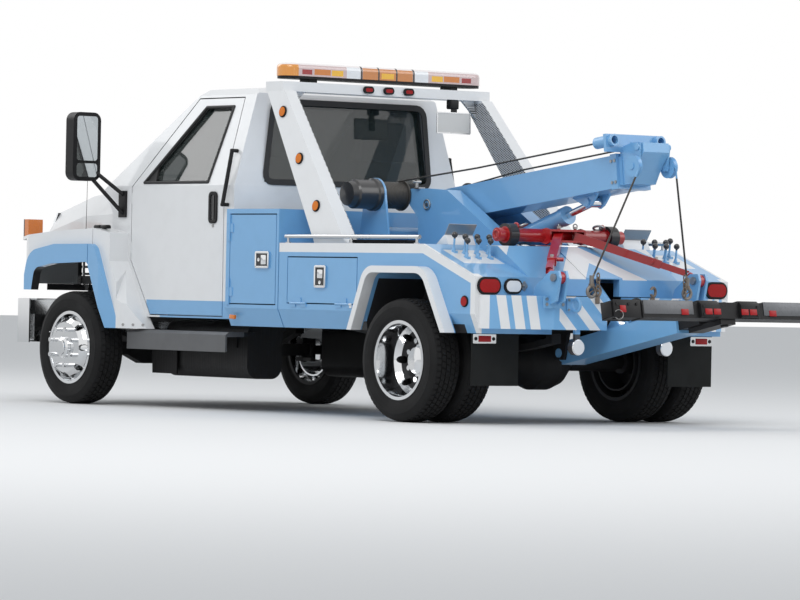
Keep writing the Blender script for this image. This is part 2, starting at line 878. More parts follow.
WHEEL = Finish(
    "wheel_polish", (0.74, 0.75, 0.76), roughness=0.10, metallic=1.0, wear=0.03,
    zones=(Zone((0.03, 0.03, 0.032), lambda p: abs(p.y) < 0.985, roughness=0.6, metallic=0.3),),
)
CROSSBAR = Finish(
    "crossbar_black", (0.010, 0.010, 0.011), roughness=0.45, wear=0.06, extra=MATT,
    relief=lambda r: tread_plate(r.place().y, r.place().x + r.place().z * 0.6, 0.030) * (r.place().z > 0.80),
    relief_depth=0.002,
)
LAMPS = Finish(
    "marker_lens", LENS_RED, roughness=0.22, coat=0.1, wear=0.0, extra=MATT,
    zones=(
        Zone(AMBER, lambda p: (abs(p.y) > 0.3) * (p.x > -0.985)),
        Zone(LENS_CLEAR, lambda p: (p.x < -2.0) * (abs(p.y).within(0.70, 0.86) * (p.z > 0.86)).either(p.z < 0.60)),
    ),
    relief=ribs("y", 0.008, 0.004), relief_depth=0.0004,
)
HEADLAMP = Finish(
    "headlamp_lens", (0.62, 0.65, 0.67), roughness=0.06, metallic=0.55, coat=1.0, wear=0.0,
    zones=(
        Zone(AMBER, lambda p: (p.z > 1.13) * (p.x < 3.203), metallic=0.0, roughness=0.2),
        Zone(AMBER, lambda p: (abs(p.y) > 0.93) * (p.z < 1.13), metallic=0.0),
        Zone((0.012, 0.012, 0.013), lambda p: (p.z > 1.13) * (p.x > 3.203), metallic=0.0, roughness=0.5),
    ),
    relief=ribs("y", 0.016, 0.006), relief_depth=0.0006,
)


def bar_bands(*spans: tuple[float, float]) -> Callable[[Place], Link]:
    """A mask of bands across the light bar, the same on both halves."""

    def mask(place: Place) -> Link:
        out = abs(place.y).within(*spans[0])
        for span in spans[1:]:
            out = out.either(abs(place.y).within(*span))
        return out

    return mask


LIGHT_BAR = Finish(
    "light_bar_lens", (0.62, 0.47, 0.46), roughness=0.06, coat=1.0, wear=0.0,
    zones=(
        Zone((0.80, 0.82, 0.84), bar_bands((0.24, 0.36))),
        Zone((0.62, 0.22, 0.05), bar_bands((0.0, 0.22))),
        Zone((0.74, 0.28, 0.03), lambda p: (abs(p.y) > 0.775) * (p.y > 0.0)),
        Zone(LENS_RED, lambda p: abs(p.y).within(0.66, 0.745) * p.z.within(2.338, 2.372)),
        Zone((0.66, 0.20, 0.02), lambda p: abs(p.y).within(0.50, 0.64) * p.z.within(2.338, 2.378)),
        Zone((0.92, 0.50, 0.02), lambda p: abs(p.y).within(0.39, 0.49) * p.z.within(2.336, 2.376)),
        Zone((0.92, 0.50, 0.02), lambda p: (abs(p.y) < 0.055) * p.z.within(2.336, 2.374)),
        Zone((0.86, 0.80, 0.79), lambda p: p.z > 2.404),
        Zone(SHADE_BLACK, bar_bands((0.222, 0.238), (0.072, 0.086))),
    ),
    relief=lambda r: ((r.place().y % 0.012) < 0.005) * (r.place().z < 2.40), relief_depth=0.0004,
)

TAG_RED = Finish(
    "reflex_red", (0.36, 0.008, 0.011), roughness=0.35, coat=0.1, wear=0.02, extra=MATT, slot="lamp_lens",
)
AMBER_LENS = Finish("amber_lens", AMBER, roughness=0.15, coat=0.8, wear=0.0, slot="lamp_lens")
GROMMET = Finish("grommet_rubber", (0.008, 0.008, 0.009), roughness=0.6, wear=0.04, extra=MATT)
TOW_GEAR = paint("tow_gear", TOW_RED, slot="tow_red")
MIRROR_GLASS = Finish(
    "mirror_glass", (0.62, 0.65, 0.66), roughness=0.02, metallic=1.0, wear=0.0, slot="mirror_black",
)
LATCH_PAN = Finish("latch_pan", (0.06, 0.06, 0.062), roughness=0.35, metallic=0.7, wear=0.04)
PLAIN_WHITE = paint("plain_white_paint", WHITE, slot="body_white")
RIBBED = Finish(
    "ribbed_rubber", (0.010, 0.010, 0.011), roughness=0.75, wear=0.06, extra=MATT,
    relief=ribs("x", 0.024, 0.012), relief_depth=0.004, slot="flap_rubber",
)
BAR_TREAD = Finish(
    "bar_tread", (0.13, 0.135, 0.145), roughness=0.38, metallic=0.6, wear=0.06,
    relief=lambda r: tread_plate(r.place().y, r.place().x + r.place().z * 0.6, 0.028), relief_depth=0.003,
    slot="bar_black",
)
SEAT_CLOTH = Finish(
    "seat_cloth", (0.035, 0.045, 0.050), roughness=0.85, wear=0.05,
    relief=lambda r: r.noise(420.0) + (abs(abs(abs(r.place().y) - 0.44) - 0.165) < 0.004) * -6.0,
    relief_depth=0.0008,
)

NODE_FINISHES: tuple[tuple[Finish, str], ...] = (
    (CHASSIS_BLACK, "frame front_axle rear_axle knuckle_left knuckle_right"), (CAST_METAL, "engine_and_driveline"),
    (CHROME, "front_bumper hood_grille"), (CAB_PAINT, "cab_shell"), (DOOR_PAINT, "door_left door_right"),
    (GLASS, "cab_glass door_glass_left door_glass_right"), (TRIM, "cab_interior"),
    (PLASTIC, "steering_wheel mirrors lightbar_base"), (HOOD_PAINT, "hood_shell"), (HEADLAMP, "hood_lamps"),
    (TYRE, "tyre_front_left tyre_front_right tyre_rear_left tyre_rear_right"),
    (WHEEL, "rim_front_left rim_front_right rim_rear_left rim_rear_right"), (STEP_METAL, "cab_steps"),
    (CABINET_PAINT, "tool_cabinet tall_door_left tall_door_right side_door_left side_door_right"),
    (DECK_PAINT, "wrecker_body slot_cover"), (TAIL_PAINT, "tail_bumper"), (FLAP, "mudflaps"),
    (PYLON_PAINT, "pylon"), (LIGHT_BAR, "lightbar_lens"), (LAMPS, "body_lamps"), (STAINLESS, "deck_rails"),
    (LEVER_PAINT, "control_levers"), (MAST_PAINT, "mast"), (WINCH_PAINT, "winches"),
    (DRUM_ROPE, "winch_drum_left winch_drum_right"), (TOW_PAINT, "tow_bar"), (BOOM_PAINT, "boom_outer boom_inner"),
    (LINE_GEAR, "line_left line_right"), (CYLINDER_PAINT, "lift_barrel under_barrel"),
    (ROD_CHROME, "lift_rod under_rod"), (STINGER_PAINT, "stinger_outer"), (GEAR_BLACK, "stinger_inner"),
    (CROSSBAR, "crossbar"),
)


# Wheels


@dataclass
class RoadTyre:
    """A tyre with moulded sidewalls and a cut tread, in place of the plain CAD one."""

    node: str
    body: str
    centres: tuple[float, ...]
    side: Side
    axle_x: float
    radius: float = 0.4055
    groove: float = 0.009
    bead_half: float = 0.0938
    bead: float = 0.2652
    bulge_half: float = 0.1128
    tread_half: float = 0.094
    rows: int = 5
    lugs: int = 52
    edge_share: float = 0.88

    def build(self) -> None:
        """Spins the carcass, cuts the lugs and joins them."""
        pieces = []
        for centre in self.centres:
            middle = self.side * centre
            pieces += [self._carcass(middle), self._tread(middle)]
        tyre = Bench.fit(f"{self.node}_cut", pieces, TYRE, self.body, angle=32.0)
        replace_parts(tyre, self.node)

    def _profile(self) -> list[tuple[float, float]]:
        """Half of the carcass's section from its bead to its crown: offset, radius."""
        base = self.radius - self.groove
        from_bead = (
            (-0.012, -0.015), (0.0, -0.013), (0.001, 0.0), (0.008, 0.012), (0.0085, 0.018), (0.011, 0.0185),
            (0.0165, 0.040),
        )
        from_bulge = ((0.0, 0.066), (0.0002, 0.086), (-0.0015, 0.088))
        return [
            *((self.bead_half + out, self.bead + up) for out, up in from_bead),
            *((self.bulge_half + out, self.bead + up) for out, up in from_bulge),
            (self.bulge_half - 0.006, base - 0.022), (self.tread_half + 0.004, base - 0.008),
            (self.tread_half - 0.005, base),
        ]

    def _carcass(self, middle: float) -> Piece:
        """Spins the section about the axle."""
        half = self._profile()
        outline = half + [(-offset, radius) for offset, radius in reversed(half)]
        Bench.clear()
        bpy.ops.mesh.primitive_circle_add(vertices=len(outline), radius=1.0, fill_type="NOTHING")
        piece = Bench.take()
        for vertex, (offset, radius) in zip(piece.data.vertices, outline):
            vertex.co = (self.axle_x, middle + offset, AXLE_Z + radius)
        Bench.edit(piece)
        bpy.ops.mesh.spin(
            steps=88, angle=2 * math.pi, center=(self.axle_x, middle, AXLE_Z), axis=ACROSS, dupli=False
        )
        bpy.ops.mesh.select_all(action="SELECT")
        bpy.ops.mesh.remove_doubles(threshold=0.0001)
        Bench.close()
        return piece

    def _tread(self, middle: float) -> Piece:
        """Lugs in rows round the carcass, the outer rows running over the shoulder."""
        step = 2 * math.pi / self.lugs
        pitch = 2 * self.tread_half / self.rows
        rows = []
        for row in range(self.rows):
            across = pitch * (row + 0.5) - self.tread_half
            edge = row in (0, self.rows - 1)
            length = self.radius * step * (self.edge_share if edge else 0.88)
            lug = self._lug(across, pitch - 0.006, length, edge)
            shift = 0.5 * (row % 2)
            moves = [self._turn(middle, (index + shift) * step) for index in range(self.lugs)]
            rows.append(Bench.repeat(lug, "row", moves))
        return Bench.join("tread", rows)

    def _lug(self, across: float, width: float, length: float, edge: bool) -> Piece:
        """One lug at the top of the wheel, about the wheel's own centre."""
        low = self.radius - self.groove - 0.004
        lug = Bench.cube(
            (-length / 2, across - width / 2, low), (length / 2, across + width / 2, self.radius - 0.0008)
        )
        Bench.pick(lug, lambda c, n: n.z > 0.5)
        bpy.ops.transform.resize(value=(0.94, 0.96, 1.0), center_override=(0.0, across, self.radius))
        Bench.close(turned=False)
        if edge:
            out = 1 if across > 0 else -1
            Bench.pick(lug, lambda c, n: n.y * out > 0.5)
            bpy.ops.transform.translate(value=(0.0, out * 0.004, -0.010))
            Bench.close(turned=False)
        else:
            for vertex in lug.data.vertices:
                vertex.co.x += (vertex.co.y - across) * 0.35
        return lug

    def _turn(self, middle: float, angle: float) -> Matrix:
        """Carries a lug from the wheel's own centre to its place round the axle."""
        return Matrix.Translation((self.axle_x, middle, AXLE_Z)) @ Matrix.Rotation(angle, 4, "Y")


@dataclass
class WheelFittings:
    """A valve stem on each outer wheel."""

    wheels: tuple[tuple[str, float, float, float], ...] = (
        ("front", FRONT_AXLE_X, 1.216, 0.02), ("rear", REAR_AXLE_X, 0.932, 0.07),
    )

    def build(self) -> None:
        """Adds the stems, by the wheel's face and how far each stands out of it."""
        for side in Side:
            for word, x, face, out in self.wheels:
                stem = Bench.rod(
                    (x + 0.166, side * (face - 0.04), AXLE_Z + 0.105),
                    (x + 0.170, side * (face + out), AXLE_Z + 0.108), 0.004, 10,
                )
                Bench.fit(f"valve_{word}_{side.word}", stem, CHROME, f"{word}_wheel_{side.word}", "wheel_metal")


# Cab


@dataclass
class WindowSeals:
    """Black rubber round the cab's openings."""

    window: Outline = ((1.785, 1.592), (1.008, 1.592), (0.888, 2.125), (1.215, 2.125))
    triangle: Outline = ((1.795, 1.592), (1.655, 1.592), (1.655, 1.735))
    belt_y: float = 0.985
    belt_z: float = 1.570
    lean: float = 0.195 / 0.640

    def build(self) -> None:
        """Adds the seals of both doors and of the rear window."""
        for side in Side:
            self._door_seal(side)
            self._quarter(side)
        place = upright((0.6885, 0.0, 1.8825), REAR)
        outline = [(-0.752, -0.303), (0.752, -0.303), (0.682, 0.303), (-0.682, 0.303)]
        Bench.fit("rear_window_seal", Bench.plate(outline, place, 0.008, 0.085, border=0.042), SEAL)

    def _on_door(self, side: Side, x: float, z: float, out: float) -> Point:
        """A point on the door's side, which leans in above the belt."""
        y = self.belt_y - max(0.0, z - self.belt_z) * self.lean
        return (x + 0.30 * (self.belt_y - y), side * (y + out), z)

    def _door_seal(self, side: Side) -> None:
        """A bead round the door's window."""
        corners = [self._on_door(side, x, z, 0.001) for x, z in self.window]
        beads = []
        for corner, after in zip(corners, corners[1:] + corners[:1]):
            beads += [Bench.rod(corner, after, 0.011, 10), Bench.ball(corner, 0.011, 10)]
        Bench.fit(f"window_seal_{side.word}", beads, SEAL, f"door_{side.word}", angle=50.0)

    def _quarter(self, side: Side) -> None:
        """The black triangle ahead of the door's glass."""
        corners = [Vector(self._on_door(side, x, z, -0.012)) for x, z in self.triangle]
        place = upright(corners[0], (0.0, side, self.lean))
        flat = [(place.inverted() @ corner)[:2] for corner in corners]
        Bench.fit(f"quarter_{side.word}", Bench.plate(flat, place, 0.010), SEAL, f"door_{side.word}")


@dataclass
class CabTrim:
    """Wipers, aerial, hood latches, door furniture and the mirrors' glass."""

    def build(self) -> None:
        """Adds the cab's small parts."""
        for side in Side:
            self._mirror_glass(side)
            self._hood_latch(side)
            self._door_pull(side)
        self._aerial()
        self._wipers()
        self._inside_mirror()

    def _mirror_glass(self, side: Side) -> None:
        """Flat and convex glass in the back of a mirror's housing."""
        for word, low, high in (("main", 1.745, 2.062), ("wide", 1.628, 1.725)):
            place = upright((2.1446, side * 1.240, (low + high) / 2), REAR)
            pane = Bench.plate(oblong(0.088, (high - low) / 2), place, 0.003, 0.022)
            Bench.fit(f"mirror_{word}_{side.word}", pane, MIRROR_GLASS)

    def _hood_latch(self, side: Side) -> None:
        """A rubber pull latch across the hood's split line, half on the cab."""
        for word, body, start, end in (("strap", "hood", 2.186, 2.262), ("hook", "chassis", 2.098, 2.176)):
            latch = Bench.cube((start, side * 1.070 - 0.021, 1.262), (end, side * 1.070 + 0.021, 1.284))
            Bench.inset(latch, lambda c, n: n.z > 0.5, 0.007, 0.006)
            Bench.soften(latch, 0.004)
            Bench.fit(f"hood_{word}_{side.word}", latch, PLASTIC, body)

    def _door_pull(self, side: Side) -> None:
        """A bezel round a door's pull, and the key barrel under it."""
        place = upright((0.933, side * 0.9853, 1.414), (0.0, side, 0.0))
        bezel = Bench.plate(oblong(0.052, 0.112), place, 0.009, 0.034, border=0.027, edge=0.003)
        Bench.fit(f"door_pull_{side.word}", bezel, PLASTIC, f"door_{side.word}")
        lock = Bench.rod((0.933, side * 0.984, 1.286), (0.933, side * 0.990, 1.286), 0.011, 18)
        Bench.fit(f"door_lock_{side.word}", lock, STEEL, f"door_{side.word}")

    def _aerial(self) -> None:
        """A thin whip on the left fender."""
        foot = Bench.rod((2.640, 0.900, 1.235), (2.640, 0.900, 1.268), 0.014, 16, tip=0.008)
        whip = Bench.rod((2.640, 0.900, 1.262), (2.628, 0.900, 1.950), 0.0022, 8, tip=0.0012)
        Bench.fit("aerial", [foot, whip], PLASTIC, "hood")

    def _wipers(self) -> None:
        """Two wipers parked at the foot of the windshield."""
        for word, y in (("left", 0.10), ("right", -0.62)):
            arm = Bench.rod((2.318, y, 1.628), (2.270, y + 0.42, 1.668), 0.007, 10)
            blade = Bench.cube((2.262, y + 0.08, 1.660), (2.274, y + 0.66, 1.674))
            Bench.fit(f"wiper_{word}", [arm, blade], PLASTIC)

    def _inside_mirror(self) -> None:
        """A wide mirror hung at the head of the windshield."""
        glass = Bench.plate(oblong(0.135, 0.045), upright((1.560, 0.0, 2.020), (-1.0, 0.0, 0.05)), 0.022, 0.018)
        stem = Bench.rod((1.548, 0.0, 2.050), (1.480, 0.0, 2.215), 0.008, 10)
        Bench.fit("inside_mirror", [glass, stem], PLASTIC)


# Rigging and underlift


@dataclass(frozen=True)
class Arm:
    """A raked arm: its root and its slope above level, towards the rear."""

    root_x: float
    root_z: float
    slope: float

    def at(self, along: float, across: float, up: float) -> Point:
        """A point by its distance along the arm, across the truck and above the arm's middle."""
        angle = math.radians(self.slope)
        run, rise = math.cos(angle), math.sin(angle)
        return (self.root_x - run * along + rise * up, across, self.root_z + rise * along + run * up)

    def carry(self, piece: Piece) -> Piece:
        """Moves a piece modelled as (along, across, up) about the arm's root to its place."""
        for vertex in piece.data.vertices:
            vertex.co = self.at(*vertex.co)
        piece.data.flip_normals()
        return piece


BOOM = Arm(-0.585, 1.450, 6.9)
STINGER = Arm(-1.835, 0.470, 11.4)
BAR_ALONG = 1.49523


@dataclass
class WinchRopes:
    """The winch lines, from each drum over the boom to the tube at its head."""

    across: float = 0.200
    up: float = 0.195

    def build(self) -> None:
        """Lays each line in two lengths that slide into each other, and its fairlead."""
        for side in Side:
            drum = (-0.322, side * 0.322, 1.609)
            knee, mouth, root, end = (
                BOOM.at(along, side * self.across, self.up) for along in (0.46, 1.690, 0.48, 1.80)
            )
            line = Bench.join(f"winch_rope_{side.word}", Bench.cable([drum, knee, mouth], 0.0062))
            Bench.dress(line, ROPE)
            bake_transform(line)
            Bench.fit(f"head_rope_{side.word}", Bench.cable([root, end], 0.0052), ROPE, "boom_extension")
            clip = Bench.stud((-0.480, side * 0.296, 1.565), (0.0, 0.0, 0.035), 0.012, 14)
            roller = Bench.rod((-0.480, side * 0.262, 1.606), (-0.480, side * 0.330, 1.606), 0.010, 18)
            foot = Bench.cube((-0.505, side * 0.27 - 0.028, 1.558), (-0.455, side * 0.27 + 0.028, 1.570))
            Bench.fit(f"rope_fairlead_{side.word}", [clip, roller, foot], STEEL)


@dataclass
class LineFittings:
    """Swivels, latches and chain on the two hanging hooks."""

    hook: Point = (-2.485, 0.411, 0.885)

    def build(self) -> None:
        """Adds each hook's swivel and safety latch, and a short chain below the sleeve."""
        x, out, z = self.hook
        for side in Side:
            y = side * out
            gear = [
                Bench.stud((x, y, z + 0.028), (0.0, 0.0, 0.018), 0.020, 18),
                Bench.rod((x, y - 0.030, z + 0.012), (x, y + 0.022, z - 0.020), 0.004, 10),
            ]
            for index in range(5):
                axis = (1.0, 0.0, 0.0) if index % 2 else ACROSS
                link = Bench.ring((0.0, 0.0, 0.0), axis, 0.013, 0.0042, 20)
                at = Matrix.Translation((x - 0.020, side * (out - 0.038), z - 0.012 + index * 0.027))
                link.data.transform(at @ Matrix.Diagonal((1.0, 1.0, 1.45, 1.0)))
                gear.append(link)
            Bench.fit(f"hook_gear_{side.word}", gear, HOOK_IRON, f"line_{side.word}")


@dataclass
class CrossbarGear:
    """The receiver blocks, tread steps, reflectors and centre housing of the crossbar."""

    horn: Outline = (
        (-0.064, -0.060), (0.066, -0.060), (0.066, 0.040), (0.040, 0.074), (-0.020, 0.082), (-0.064, 0.050),
    )
    shell: Outline = (
        (-0.050, -0.047), (0.078, -0.047), (0.078, 0.036), (0.052, 0.064), (-0.045, 0.064), (-0.050, 0.058),
    )

    def build(self) -> None:
        """Adds every fitting of the bar."""
        for side in Side:
            self._receiver(side)
            self._step(side)
            self._housing(side)
        reflectors = []
        for side in Side:
            for across, out, low in ((0.375, 0.0590, -0.034), (0.190, 0.0782, -0.032), (0.118, 0.0782, -0.032)):
                y = side * across
                reflectors.append(self._block((out, y - 0.030, low), (out + 0.004, y + 0.030, low + 0.038), 0.003))
        Bench.fit("bar_reflectors", reflectors, TAG_RED, "crossbar")

    def _block(self, low: Point, high: Point, edge: float = 0.006) -> Piece:
        """A softened block between corners given as (along, across, up) from the bar's middle."""
        ahead = (BAR_ALONG + low[0], *low[1:]), (BAR_ALONG + high[0], *high[1:])
        return STINGER.carry(Bench.cube(*ahead, edge))

    def _bolt(self, along: float, across: float, up: float, run: float, radius: float) -> Piece:
        """A hex head on the bar's rear."""
        return STINGER.carry(Bench.stud((BAR_ALONG + along, across, up), (run, 0.0, 0.0), radius))

    def _receiver(self, side: Side) -> None:
        """Side cheeks and a collar round the fork's socket, a red tag, its ring and the guard plate."""
        parts = [
            self._block((0.0552, side * 0.742, -0.058), (0.0620, side * 0.968, 0.058)),
            self._block((-0.0620, side * 0.742, -0.058), (-0.0552, side * 0.968, 0.058)),
            self._block((-0.050, side * 0.9702, -0.046), (0.050, side * 0.9780, 0.046)),
            STINGER.carry(Bench.ring((BAR_ALONG, side * 0.905, 0.0530), (0, 0, 1), 0.036, 0.006)),
            *(self._bolt(0.061, side * across, 0.030, 0.007, 0.010) for across in (0.775, 0.842, 0.940)),
        ]
        Bench.fit(f"receiver_{side.word}", parts, GEAR_BLACK, "crossbar")
        tag = self._block((0.0622, side * 0.868, -0.024), (0.0665, side * 0.916, 0.020), 0.002)
        Bench.fit(f"tag_{side.word}", tag, TAG_RED, "crossbar")
        ring = Bench.ring((BAR_ALONG + 0.067, side * 0.934, -0.040), (1, 0.3, 0), 0.030, 0.0018, 28)
        Bench.fit(f"tag_ring_{side.word}", STINGER.carry(ring), STEEL, "crossbar")
        place = section(side * 0.728 - 0.007, 1, BAR_ALONG)
        horn = Bench.plate(self.horn, place, 0.014, 0.020, edge=0.003)
        Bench.fit(f"horn_{side.word}", STINGER.carry(horn), GEAR_BLACK, "crossbar")

    def _step(self, side: Side) -> None:
        """A chequered step plate folded over the bar's top and rear."""
        top = self._block((-0.052, side * 0.300, 0.0527), (0.0595, side * 0.716, 0.0590), 0.003)
        lip = self._block((0.0552, side * 0.300, -0.030), (0.0595, side * 0.716, 0.0585), 0.002)
        Bench.fit(f"step_{side.word}", [top, lip], BAR_TREAD, "crossbar")

    def _housing(self, side: Side) -> None:
        """A deeper chamfered shell each side of the pin, with its bolts."""
        place = section(min(side * 0.092, side * 0.250), 1, BAR_ALONG)
        shell = Bench.plate(self.shell, place, 0.158, 0.006, edge=0.004)
        bolts = [self._bolt(0.077, side * 0.228, up, 0.006, 0.009) for up in (-0.030, 0.022)]
        Bench.fit(f"housing_{side.word}", [STINGER.carry(shell), *bolts], GEAR_BLACK, "crossbar")


@dataclass
class TowBarFittings:
    """Shackles, pin heads and end hooks on the stowed tow bar."""

    tube_x: float = -1.655
    tube_z: float = 1.2453

    def build(self) -> None:
        """Adds the red lugs and hooks, then the grey iron in them."""
        red, iron = [], []
        x, z = self.tube_x, self.tube_z + 0.045
        for side in Side:
            pin_z = self.tube_z + 0.050
            red += [
                Bench.ring((x, side * 0.372, z + 0.012), ACROSS, 0.019, 0.009, 28),
                Bench.ring((x, side * 0.5385, self.tube_z), ACROSS, 0.026, 0.009),
            ]
            iron += [
                Bench.ring((x - 0.012, side * 0.330, z + 0.016), (0.35, side * 0.25, 1.0), 0.034, 0.008),
                Bench.rod((x, side * 0.350, z + 0.014), (x, side * 0.402, z + 0.014), 0.008, 16),
                Bench.rod((x, side * 0.388, z + 0.014), (x, side * 0.398, z + 0.014), 0.014, 6),
                Bench.stud((x - 0.080, side * 0.070, pin_z), (0.0, 0.0, 0.014), 0.017),
                Bench.ring((x - 0.080, side * 0.070, pin_z + 0.018), (1.0, side * 0.6, 0.2), 0.013, 0.004, 24),
                Bench.stud((-2.125, side * 0.4500, 1.096), (0.0, 0.0, 0.022), 0.013),
            ]
        Bench.fit("tow_bar_lugs", red, TOW_GEAR, angle=50.0)
        Bench.fit("tow_bar_iron", iron, STEEL, angle=50.0)


@dataclass
class BoomFittings:
    """Hex heads on the boom's head and caps on its root pin."""

    def build(self) -> None:
        """Adds the boom's bolts and its pin caps."""
        for side in Side:
            heads = [
                Bench.rod(BOOM.at(along, side * 0.1425, up), BOOM.at(along, side * 0.1500, up), 0.011, 6)
                for along in (1.778, 1.812) for up in (0.070, -0.070)
            ]
            Bench.fit(f"collar_bolts_{side.word}", heads, STEEL, "boom")
            cap = Bench.ring((BOOM.root_x, side * 0.286, BOOM.root_z), ACROSS, 0.032, 0.006, 30)
            nut = Bench.stud((BOOM.root_x, side * 0.284, BOOM.root_z), (0.0, side * 0.008, 0.0), 0.016)
            Bench.fit(f"boom_pin_{side.word}", [cap, nut], STEEL)


# Body fittings


@dataclass
class DoorLatches:
    """Chrome paddle latches let into the boxes' doors."""

    face: float = 1.0983

    def build(self) -> None:
        """Dresses the CAD's latch blocks on all four doors."""
        for side in Side:
            self._latch(
                f"tall_door_{side.word}", side, (0.188, 1.053), (0.079, 0.058), (-0.038, 0.0),
                [(-0.012, -0.032), (0.046, -0.032), (0.046, 0.032), (-0.012, 0.032)],
            )
            self._latch(
                f"side_door_{side.word}", side, (-0.475, 0.945), (0.0635, 0.0755), (0.0, -0.040),
                [(-0.030, -0.012), (0.030, -0.012), (0.030, 0.046), (-0.030, 0.046)],
            )

    def _latch(self, body: str, side: Side, at: tuple[float, float], half: tuple[float, float],
               key: tuple[float, float], paddle: Outline) -> None:
        """A bezel, a dark pan, a paddle and a key barrel.

        Args:
            body: The door.
            side: The truck's side.
            at: The latch's middle as (x, z).
            half: Half of its length and height.
            key: The key barrel's place on it.
            paddle: The paddle's corners.
        """
        place = upright((at[0], side * self.face, at[1]), (0.0, side, 0.0))
        bezel = Bench.plate(oblong(*half), place, 0.007, 0.014, border=0.015, edge=0.0025)
        grip = Bench.plate(paddle, place, 0.006, 0.006, edge=0.002)
        lock = Bench.rod(place @ Vector((*key, 0.0)), place @ Vector((*key, 0.006)), 0.013, 20)
        Bench.inset(lock, lambda c, n: n.y * side > 0.9, 0.004, -0.001)
        Bench.fit(f"{body}_latch", [bezel, grip, lock], CHROME, body)
        pan = Bench.plate(oblong(half[0] - 0.010, half[1] - 0.010), place, 0.0012, 0.010)
        Bench.fit(f"{body}_pan", pan, LATCH_PAN, body)


@dataclass
class LampRims:
    """Black grommets and chrome rims round the lamps."""

    tail: tuple[Point, ...] = ((0.980, 0.082, 0.043), (0.780, 0.060, 0.036))
    leg_foot: Point = (-0.502, 1.045, 1.170)
    leg_head: Point = (0.322, 0.913, 2.218)

    def build(self) -> None:
        """Adds a rim to every lamp."""
        rims, chrome = [], []
        for side in Side:
            for y, half, tall in self.tail:
                place = upright((-2.1293, side * y, 0.904), REAR)
                outline = oblong(half + 0.014, tall + 0.014)
                rims.append(Bench.plate(outline, place, 0.013, tall + 0.0135, border=0.017, edge=0.004))
            lean = Vector((0.0, side * 1.048, 0.132)).normalized()
            for share in (0.86, 0.55, 0.24):
                x, y, z = Vector(self.leg_foot).lerp(Vector(self.leg_head), share)
                rims.append(Bench.ring(Vector((x, side * y, z)) + lean * 0.005, lean, 0.034, 0.0065))
            rims.append(Bench.ring((-2.025, side * 1.0935, 0.800), ACROSS, 0.032, 0.006))
            chrome.append(Bench.ring((-2.3265, side * 0.380, 0.515), (1.0, 0.0, 0.0), 0.0475, 0.005, 40))
        for y in (-0.177, 0.0, 0.177):
            place = upright((0.2448, y, 2.253), REAR)
            rims.append(Bench.plate(oblong(0.043, 0.025), place, 0.0185, 0.0245, border=0.012, edge=0.003))
        Bench.fit("lamp_grommets", rims, GROMMET, angle=50.0)
        Bench.fit("work_lamp_rims", chrome, CHROME, angle=50.0)


@dataclass
class TailFittings:
    """Clevis bolts and pins, grab hooks, the earth plate and the flaps' markers."""

    face: float = -2.335
    bolts: tuple[Point, ...] = tuple((-2.335, y, z) for y in (0.528, 0.664) for z in (0.792, 0.826))
    pads: tuple[Point, ...] = tuple((-2.349, y, z) for z in (0.758, 0.822) for y in (0.414, 0.486))

    def build(self) -> None:
        """Adds everything that is bolted to the tail."""
        bolts, hooks, plates = [], [], []
        for side in Side:
            for spots, run, radius in ((self.bolts, -0.010, 0.012), (self.pads, -0.008, 0.008)):
                bolts += [Bench.stud((x, side * y, z), (run, 0.0, 0.0), radius) for x, y, z in spots]
            for y, out in ((0.556, -0.014), (0.644, 0.014)):
                bolts.append(Bench.stud((-2.385, side * y, 0.965), (0.0, side * out, 0.0), 0.026, 24))
            hooks.append(self._grab_hook(side * 0.237))
            place = upright((self.face + 0.0002, side * 0.596, 0.806), REAR)
            outline = [(-0.092, -0.040), (0.092, -0.040), (0.092, 0.038), (-0.092, 0.038)]
            plates.append(Bench.plate(outline, place, 0.006, 0.010))
        Bench.fit("tail_bolts", bolts, STEEL)
        Bench.fit("grab_hooks", hooks, HOOK_IRON, angle=50.0)
        Bench.fit("clevis_plates", plates, BLUE_GEAR)
        place = upright((-2.1293, 0.684, 0.906), REAR)
        lozenge = Bench.plate([(-0.030, 0.0), (0.0, -0.036), (0.030, 0.0), (0.0, 0.036)], place, 0.005, 0.006)
        stud = Bench.stud((-2.133, 0.684, 0.906), (-0.013, 0.0, 0.0), 0.010, 16)
        Bench.fit("earth_plate", [lozenge, stud], STEEL)
        self._flap_markers()

    def _grab_hook(self, y: float) -> Piece:
        """A hook that stands on the bumper's edge, open to the rear."""
        stem = Bench.cube((self.face - 0.014, y - 0.016, 0.800), (self.face - 0.0002, y + 0.016, 0.852), 0.004)
        loop = Bench.ring((self.face - 0.012, y, 0.884), (1.0, 0.35, 0.0), 0.030, 0.0095)
        if Bench.pick(loop, lambda c, n: c.y - y > 0.004 and 0.872 < c.z < 0.900):
            bpy.ops.mesh.delete(type="FACE")
        bpy.ops.mesh.select_all(action="SELECT")
        bpy.ops.mesh.fill_holes(sides=16)
        Bench.close(turned=False)
        return Bench.join("hook", [stem, loop])

    def _flap_markers(self) -> None:
        """A chrome frame with a red centre and black ends on each mud flap."""
        frames, centres, ends = [], [], []
        for side in Side:
            place = upright((-2.0402, side * 0.935, 0.560), REAR)
            frames.append(Bench.plate(oblong(0.096, 0.031), place, 0.006, 0.006))
            Bench.soften(frames[-1], 0.0015, 1)
            centres.append(Bench.plate(oblong(0.050, 0.020), place, 0.011, 0.003, edge=0.002))
            for x in (-0.074, 0.074):
                ends.append(Bench.rod(place @ Vector((x, 0.0, 0.005)), place @ Vector((x, 0.0, 0.0095)), 0.0125, 6))
        Bench.fit("flap_frames", frames, CHROME)
        Bench.fit("flap_reds", centres, TAG_RED)
        Bench.fit("flap_screws", ends, PLASTIC)


